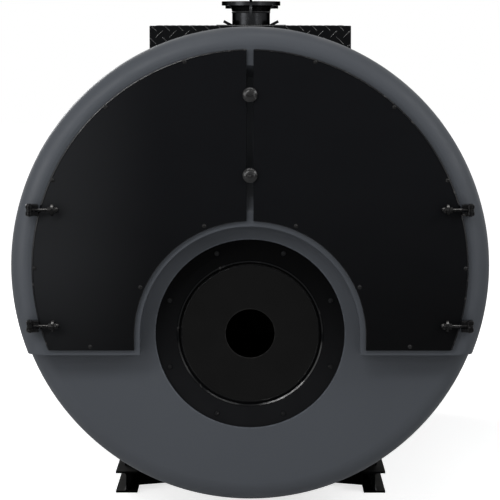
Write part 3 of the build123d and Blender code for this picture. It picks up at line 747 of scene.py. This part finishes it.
class BOILER_OT_chequer_plate(bpy.types.Operator):
    """Raises the bars of the chequer plate on the deck"""

    bl_idname = "boiler.chequer_plate"
    bl_label = "Chequer plate"

    first_bar = Vector((0.015, 0.045))

    def execute(self, context):
        settings = context.scene.boiler
        material = worn_black(
            "chequer_bars", settings.deck, settings, settings.bar_shine, softness=0.18, rub_scale=35.0,
            rub_amount=0.1, grain=0.00002)
        length, pitch = settings.bar_length, settings.bar_pitch
        half = length / 2 * math.cos(math.pi / 4)
        gaps = self.deck_gaps()
        edge_gap = 0.003
        for name in ("front", "middle", "rear"):
            low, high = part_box(f"deck_plate_{name}")
            inset = half + edge_gap
            places = []
            for x, y, turn in self.lattice(
                low.x + inset, high.x - inset, low.y + inset, high.y - inset, low.y, pitch,
            ):
                if not any(a - half < x < b + half and c - half < y < d + half for a, b, c, d in gaps):
                    places.append(Matrix.Translation((x, y, high.z)) @ Matrix.Rotation(turn, 4, "Z"))
            mesh = stamp(f"deck_bars_{name}", chequer_bar(length), places)
            set_piece(mesh, material, "boiler")
        top_gap, side_gap = 0.002, 0.0012
        for name, place in (("front", front_place), ("rear", rear_place)):
            low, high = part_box(f"deck_panel_{name}")
            face, side = (low.y, 1) if name == "front" else (high.y, -1)
            top = high.z - top_gap
            places = []
            for x, drop, turn in self.lattice(low.x, high.x, -half, top - low.z, self.first_bar.y, pitch):
                z = high.z - drop
                if math.hypot(x, z - axis_z) > jacket_radius - half / 2:
                    places.append(place(x, z, face, side * turn))
            mesh = stamp(f"panel_bars_{name}", chequer_bar(length), places)
            planes = (
                ((high.x - side_gap, 0, 0), (1, 0, 0)),
                ((low.x + side_gap, 0, 0), (-1, 0, 0)),
                ((0, 0, top), (0, 0, 1)),
            )
            set_piece(trim(mesh, planes), material, "boiler")
        return {"FINISHED"}

    def lattice(self, low_x, high_x, low_y, high_y, start_y, pitch):
        """Bars in rows half a pitch apart, each row leaning the other way and set half a pitch over."""
        first_row = math.floor((low_y - start_y) / (pitch / 2)) - 1
        last_row = math.ceil((high_y - start_y) / (pitch / 2)) + 1
        reach = math.ceil((high_x - low_x) / pitch)
        for row in range(first_row, last_row):
            odd = row % 2
            y = start_y + row * pitch / 2
            turn = math.radians(-45 if odd else 45)
            for column in range(-reach, reach):
                x = self.first_bar.x + (column + odd / 2) * pitch
                if low_x < x < high_x and low_y < y < high_y:
                    yield x, y, turn

    def deck_gaps(self):
        """What stands through the deck, as boxes in plan."""
        lug_gap = 0.01
        gaps = []
        for node, bar in (
            ("flow_nozzle", opening_bar_width), ("return_nozzle", 0.0), ("safety_valve_nozzle", 0.0),
        ):
            low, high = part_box(node)
            middle = (low.y + high.y) / 2
            opening = deck_opening_half + bar
            gaps.append((-opening, opening, middle - opening, middle + opening))
        for node in ("front_lifting_lug", "rear_lifting_lug"):
            low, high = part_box(node)
            gaps.append((low.x - lug_gap, high.x + lug_gap, low.y - lug_gap, high.y + lug_gap))
        return gaps


class BOILER_OT_tube_ends(bpy.types.Operator):
    """Sets the ends of the smoke tubes into the front tube plate"""

    bl_idname = "boiler.tube_ends"
    bl_label = "Tube ends"

    def execute(self, context):
        settings = context.scene.boiler
        radius, pitch = settings.tube_radius, settings.tube_pitch
        wall, stand, root, fillet, segments = 0.0045, 0.008, 0.001, 0.006, 16
        places = list(self.places(radius, pitch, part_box("front_tube_plate")[0].y))

        def tube(bm):
            profile = [(radius - wall, root), (radius - wall, stand), (radius, stand), (radius + fillet, 0.0)]
            lathe(bm, profile, segments)

        # Each mouth is closed by a dark disc at the plate: soot and painted shade where the tube's depth
        # would be
        def inside(bm):
            bmesh.ops.create_circle(
                bm, cap_ends=True, segments=segments, radius=radius - wall,
                matrix=Matrix.Translation((0, 0, root)))

        ends = stamp("tube_ends", make_mesh("tube_end", tube), places)
        set_piece(ends, plain("boiler_steel"), "boiler")
        mouths = stamp("tube_mouths", make_mesh("tube_mouth", inside), places)
        set_piece(mouths, soot_and_shade_black(), "boiler", smooth=None)
        return {"FINISHED"}

    def places(self, radius, pitch, face):
        """Tubes in a triangular pattern, clear of the drum, the furnace, the post and the housing's foot."""
        field_radius, furnace_reach, post_half, foot_drop = 1.03, 0.655, 0.05, 0.37
        row_rise = pitch * math.sqrt(3) / 2
        for row in range(-6, 13):
            for column in range(-11, 12):
                x = (column + 0.5 * (row % 2)) * pitch
                z = row * row_rise
                inside = math.hypot(x, z) < field_radius - radius
                clear = math.hypot(x, z + axis_z - burner_z) > furnace_reach + radius
                if inside and clear and abs(x) > post_half + radius and z > -foot_drop + radius:
                    yield front_place(x, axis_z + z, face)


class BOILER_OT_seam_rivets(bpy.types.Operator):
    """Rivets the jacket's sheets along their seams"""

    bl_idname = "boiler.seam_rivets"
    bl_label = "Seam rivets"

    def execute(self, context):
        settings = context.scene.boiler
        radius, rise, seam_gap, deck_gap = 0.0065, 0.45, 0.022, 0.01
        deck_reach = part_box("deck_plate_front")[1].x + deck_gap
        saddle_x, saddle_reach = 0.62, 0.2

        def rivet(bm):
            steps = [math.radians(angle) for angle in (90, 60, 30, 0)]
            lathe(bm, [(radius * math.cos(a), radius * rise * math.sin(a)) for a in steps], 10)

        for node in ("jacket_front", "jacket_middle", "jacket_rear"):
            low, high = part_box(node)
            places = []
            for y in (low.y + seam_gap, high.y - seam_gap):
                for x, z in round_circle(settings.rivet_count, jacket_radius):
                    under_deck = z > 0 and abs(x) < deck_reach
                    on_saddle = z < 0 and abs(abs(x) - saddle_x) < saddle_reach
                    if not under_deck and not on_saddle:
                        turn = Matrix.Rotation(math.atan2(x, z), 4, "Y")
                        places.append(Matrix.Translation((x, y, axis_z + z)) @ turn)
            mesh = stamp(f"{node}_rivets", make_mesh("rivet", rivet), places)
            set_piece(mesh, plain("casing_paint"), "boiler")
        return {"FINISHED"}


class BOILER_OT_rear_fixings(bpy.types.Operator):
    """Bolts the hatches and the inspection cover on at the rear"""

    bl_idname = "boiler.rear_fixings"
    bl_label = "Rear fixings"

    def execute(self, context):
        head_radius, head_height = 0.011, 0.008
        hatch_inset, cover_inset = 0.024, 0.03
        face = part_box("flue_box")[1].y + hatch_thickness
        places = []
        for word in ("left", "right"):
            low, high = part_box(f"flue_hatch_{word}")
            for x in (low.x + hatch_inset, (low.x + high.x) / 2, high.x - hatch_inset):
                for z in (low.z + hatch_inset, high.z - hatch_inset):
                    places.append(rear_place(x, z, face, 0.3))
        low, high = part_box("inspection_cover")
        middle = (low.z + high.z) / 2
        for number, (x, z) in enumerate(round_circle(10, (high.x - low.x) / 2 - cover_inset)):
            places.append(rear_place(x, middle + z, low.y + inspection_thickness, number * 0.5))
        mesh = stamp("rear_fixings", hex_head(head_radius, head_height), places)
        set_piece(mesh, plain("fitting_black"), "boiler")
        return {"FINISHED"}


class BOILER_OT_welds(bpy.types.Operator):
    """Lays the weld beads on the nozzles, the saddles and the flue outlet"""

    bl_idname = "boiler.welds"
    bl_label = "Weld beads"

    bead_width = 0.006

    def execute(self, context):
        settings = context.scene.boiler
        grey = weld_bead("weld_grey", settings.door)
        black = weld_bead("weld_black", settings.beam)
        for node, radius, drop in (
            ("flow_nozzle", water_pipe_radius, water_neck_drop),
            ("return_nozzle", water_pipe_radius, water_neck_drop),
            ("safety_valve_nozzle", safety_pipe_radius, safety_neck_drop),
        ):
            low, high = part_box(node)
            middle = Vector((0.0, (low.y + high.y) / 2, high.z - drop))
            mesh = stamp(f"{node}_weld", bead_ring(radius, self.bead_width), [Matrix.Translation(middle)])
            set_piece(mesh, grey, "boiler")
        for name, node, radius in (
            ("drain_weld", "drain_nozzle", drain_pipe_radius), ("flue_weld", "flue_outlet", flue_radius),
        ):
            low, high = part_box(node)
            place = rear_place(0.0, (low.z + high.z) / 2, low.y + self.bead_width / 2)
            mesh = stamp(name, bead_ring(radius, self.bead_width, 60), [place])
            set_piece(mesh, grey, "boiler")
        for node, outwards in (("front_saddles", -1), ("rear_saddles", 1)):
            set_piece(self.saddle_weld(node, outwards), black, "boiler")
        return {"FINISHED"}

    def saddle_weld(self, node, outwards):
        """A fillet along the line where a saddle's plate meets the drum."""
        low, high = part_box(node)
        face = low.y if outwards < 0 else high.y
        leg, root, side_gap = 0.007, 0.002, 0.002
        reach = math.asin((high.x - side_gap) / jacket_radius)
        corner = ((face, root), (face + outwards * leg, root), (face, -leg))
        profile = [(y, height - jacket_radius) for y, height in corner]
        return sweep_round_drum(f"{node}_weld", profile, reach, -2 * reach, 48)


class BOILER_OT_door_seals(bpy.types.Operator):
    """Lays a sealing rope round the lining of each door"""

    bl_idname = "boiler.door_seals"
    bl_label = "Door seals"

    def execute(self, context):
        material = rope_seal()
        rope, slack = 0.014, 0.0005
        for word, side in sides:
            name = f"{word}_door_seal"
            points = self.route(side, rope)
            curve = bpy.data.curves.new(name, "CURVE")
            curve.dimensions = "3D"
            curve.bevel_depth = rope - slack
            curve.bevel_resolution = 3
            line = curve.splines.new("POLY")
            line.points.add(len(points) - 1)
            for point, place in zip(line.points, points):
                point.co = (*place, 1.0)
            line.use_cyclic_u = True
            holder = add_object(f"{name}_route", curve)
            context.view_layer.update()
            mesh = bpy.data.meshes.new_from_object(holder.evaluated_get(context.evaluated_depsgraph_get()))
            bpy.data.objects.remove(holder)
            bpy.data.curves.remove(curve)
            mesh.name = name
            set_piece(mesh, material, f"{word}_door", smooth=60.0)
        return {"FINISHED"}

    def route(self, side, rope):
        """The outline of a door's lining, grown by the rope's radius."""
        outer = core_radius + rope
        arch = core_arch - rope
        foot = core_low.z - rope - axis_z
        inner = -core_high.x - rope
        burner = burner_z - axis_z
        rim_ends = math.asin(inner / outer), math.pi / 2 + math.asin(-foot / outer)
        arch_ends = math.pi / 2, math.asin(inner / arch)
        points = self.arc(outer, 0.0, *rim_ends, 40)
        points += [(arch, foot)]
        points += self.arc(arch, burner, *arch_ends, 24)
        return [(side * x, cover_high.y + rope, axis_z + z) for x, z in points]

    def arc(self, radius, height, start, end, steps):
        """Points on an arc about an axis at a height."""
        angles = [start + (end - start) * step / steps for step in range(steps + 1)]
        return [(radius * math.sin(angle), height + radius * math.cos(angle)) for angle in angles]


def area_lamp(name, place, target, size, power, turn):
    """A soft lamp of a width and height that looks at a point, turned about its own beam."""
    data = bpy.data.lights.new(name, "AREA")
    data.shape = "RECTANGLE"
    data.size, data.size_y = size
    data.energy = power
    lamp = add_object(name, data)
    lamp.location = place
    lamp.rotation_mode = "QUATERNION"
    aim = (target - place).to_track_quat("-Z", "Y")
    lamp.rotation_quaternion = aim @ Quaternion((0.0, 0.0, 1.0), math.radians(turn))


class BOILER_OT_stage(bpy.types.Operator):
    """Sets the floor, the light and the camera"""

    bl_idname = "boiler.stage"
    bl_label = "Studio"

    def execute(self, context):
        settings = context.scene.boiler
        context.scene.view_settings.view_transform = "Standard"
        self.lay_floor()
        self.light_world(settings)
        # Each lamp's place from the middle of the doors, its width and height, and its turn
        middle = Vector((0.0, door_y, axis_z))
        for word, place, size, turn in (
            ("key", (-3.0, -5.2, 4.35), (4.4, 0.15), 44.0),
            ("fill", (2.45, -5.2, 4.6), (3.0, 0.15), -36.0),
            ("left", (-6.0, -4.0, 1.5), (4.0, 4.0), 0.0),
            ("right", (6.0, -3.0, 4.0), (3.0, 3.0), 0.0),
            ("low", (4.6, -4.8, 0.8), (1.6, 2.4), 0.0),
            ("top", (0.0, -1.5, 5.5), (5.0, 0.35), 0.0),
            ("back", (-5.5, 11.5, 4.5), (4.0, 4.0), 0.0),
        ):
            power = getattr(settings, f"{word}_power")
            area_lamp(f"{word}_lamp", middle + Vector(place), middle, size, power, turn)
        self.set_camera(context.scene)
        return {"FINISHED"}

    def lay_floor(self):
        """A pale floor that shows white to the camera and keeps the boiler's shadow."""
        bm = bmesh.new()
        bmesh.ops.create_grid(bm, x_segments=2, y_segments=2, size=60.0)
        floor = add_object("floor", as_mesh("floor", bm))
        near_edge, far_edge = 2.5, 7.0
        finish = Finish("floor")
        camera_ray = finish.add("ShaderNodeLightPath", output="Is Camera Ray")
        pale = finish.blend(finish.noise(0.7, 2.0), (0.80, 0.80, 0.80, 1.0), (0.83, 0.83, 0.83, 1.0))
        lit = finish.add("ShaderNodeBsdfDiffuse", inputs={"Color": pale})
        distance = finish.length(finish.stretched((1.0, 1.0, 0.0)))
        level = finish.step(distance, near_edge, far_edge, 0.72, 1.0)
        glow = finish.add("ShaderNodeEmission", inputs={"Color": white, "Strength": camera_ray * level})
        both = finish.add("ShaderNodeAddShader", inputs={0: lit, 1: glow})
        finish.add("ShaderNodeOutputMaterial", inputs={"Surface": both})
        floor.data.materials.append(finish.material)

    def light_world(self, settings):
        """Even light all round, seen as white by the camera and in reflections."""
        world = bpy.data.worlds.new("studio")
        bpy.context.scene.world = world
        studio = Nodes(world)
        seen = 0.0
        for ray in ("Is Camera Ray", "Is Glossy Ray", "Is Transmission Ray"):
            flag = studio.add("ShaderNodeLightPath", output=ray)
            seen = studio.add("ShaderNodeMath", {"operation": "MAXIMUM"}, {0: seen, 1: flag})
        lit, pure = (
            studio.add("ShaderNodeBackground", inputs={"Color": white, "Strength": strength})
            for strength in (settings.world_level, 1.0)
        )
        mix = studio.add("ShaderNodeMixShader", inputs={0: seen, 1: lit, 2: pure})
        studio.add("ShaderNodeOutputWorld", inputs={"Surface": mix})

    def set_camera(self, scene):
        """The photograph's view: a long lens in front of the doors, right of the middle, looking down."""
        focal_px, photo_px = 2645.9, 500
        distance, eye_x, eye_z, pitch = 13.671, 0.047, 2.5416, 0.08069
        camera = bpy.data.cameras.new("camera")
        camera.sensor_width = 36.0
        camera.lens = camera.sensor_width * focal_px / photo_px
        camera.clip_end = 200.0
        eye = add_object("camera", camera)
        eye.location = (eye_x, door_y - distance, eye_z)
        eye.rotation_euler = (math.pi / 2 - pitch, 0.0, math.atan(eye_x / distance))
        scene.camera = eye


OPERATORS = (
    BOILER_OT_paint,
    BOILER_OT_cover_screws,
    BOILER_OT_cover_lips,
    BOILER_OT_burner_bolts,
    BOILER_OT_burner_edges,
    BOILER_OT_chequer_plate,
    BOILER_OT_tube_ends,
    BOILER_OT_seam_rivets,
    BOILER_OT_rear_fixings,
    BOILER_OT_welds,
    BOILER_OT_door_seals,
    BOILER_OT_stage,
)


class BOILER_PT_panel(bpy.types.Panel):
    """Lists the boiler's operators in the sidebar"""

    bl_idname = "BOILER_PT_panel"
    bl_label = "Boiler"
    bl_space_type = "VIEW_3D"
    bl_region_type = "UI"
    bl_category = "Boiler"

    def draw(self, context):
        for operator in OPERATORS:
            self.layout.operator(operator.bl_idname)
        for name in BoilerSettings.__annotations__:
            self.layout.prop(context.scene.boiler, name)


def register():
    for kind in (BoilerSettings, *OPERATORS, BOILER_PT_panel):
        bpy.utils.register_class(kind)
    bpy.types.Scene.boiler = bpy.props.PointerProperty(type=BoilerSettings)


def unregister():
    del bpy.types.Scene.boiler
    for kind in (BOILER_PT_panel, *reversed(OPERATORS), BoilerSettings):
        bpy.utils.unregister_class(kind)


def main():
    register()
    for operator in OPERATORS:
        group, name = operator.bl_idname.split(".")
        getattr(getattr(bpy.ops, group), name)()


if __name__ == "__main__":
    main()
